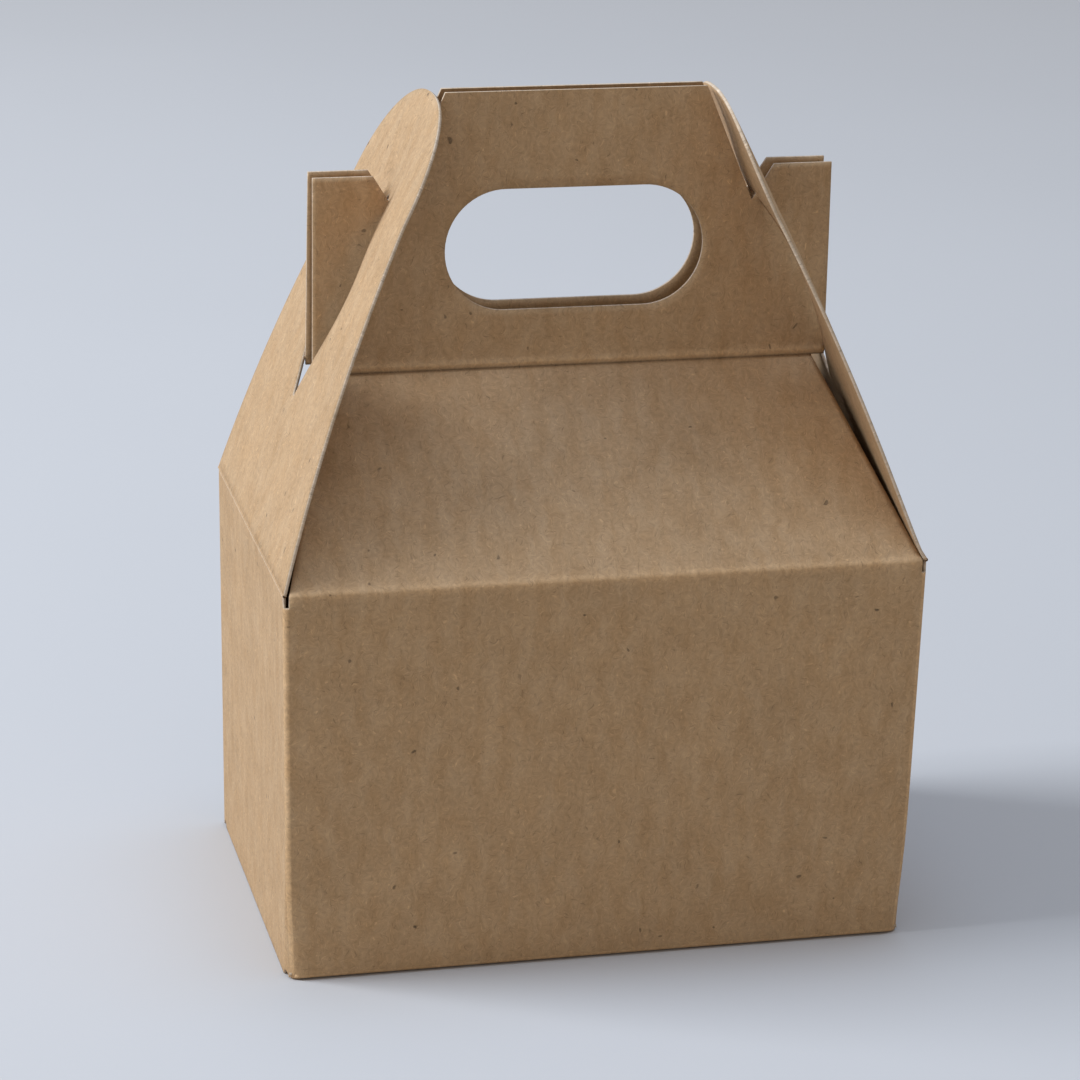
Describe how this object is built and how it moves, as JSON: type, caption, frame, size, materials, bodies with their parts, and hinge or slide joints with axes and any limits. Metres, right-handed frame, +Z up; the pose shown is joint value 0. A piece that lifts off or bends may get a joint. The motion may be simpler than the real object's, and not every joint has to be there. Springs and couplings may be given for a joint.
{
  "type": "gable box",
  "caption": "Small kraft card gable box with a sloped roof, a carrying handle with a hand hole, and hinged gable flaps hooked over its ears.",
  "frame": {"origin": "centre of the base, on the surface the box stands on", "axes": "+X along the handle, +Y from the front wall to the back wall, +Z up"},
  "size_m": [0.1016, 0.0636, 0.1328],
  "materials": {
    "kraft_card": "uncoated brown kraft board, matt, with fine light and dark fibres and paler cut edges"
  },
  "bodies": {
    "carton": {"folded_carton": "kraft_card"},
    "left_flap": {"gable_flap_left": "kraft_card"},
    "right_flap": {"gable_flap_right": "kraft_card"}
  },
  "joints": [
    {"name": "left_flap_fold", "type": "hinge", "parent": "carton", "child": "left_flap", "pos_m": [-0.05055, 0, 0.0635], "axis": [0, -1, 0], "range_deg": [0, 115]},
    {"name": "right_flap_fold", "type": "hinge", "parent": "carton", "child": "right_flap", "pos_m": [0.05055, 0, 0.0635], "axis": [0, 1, 0], "range_deg": [0, 115]}
  ]
}
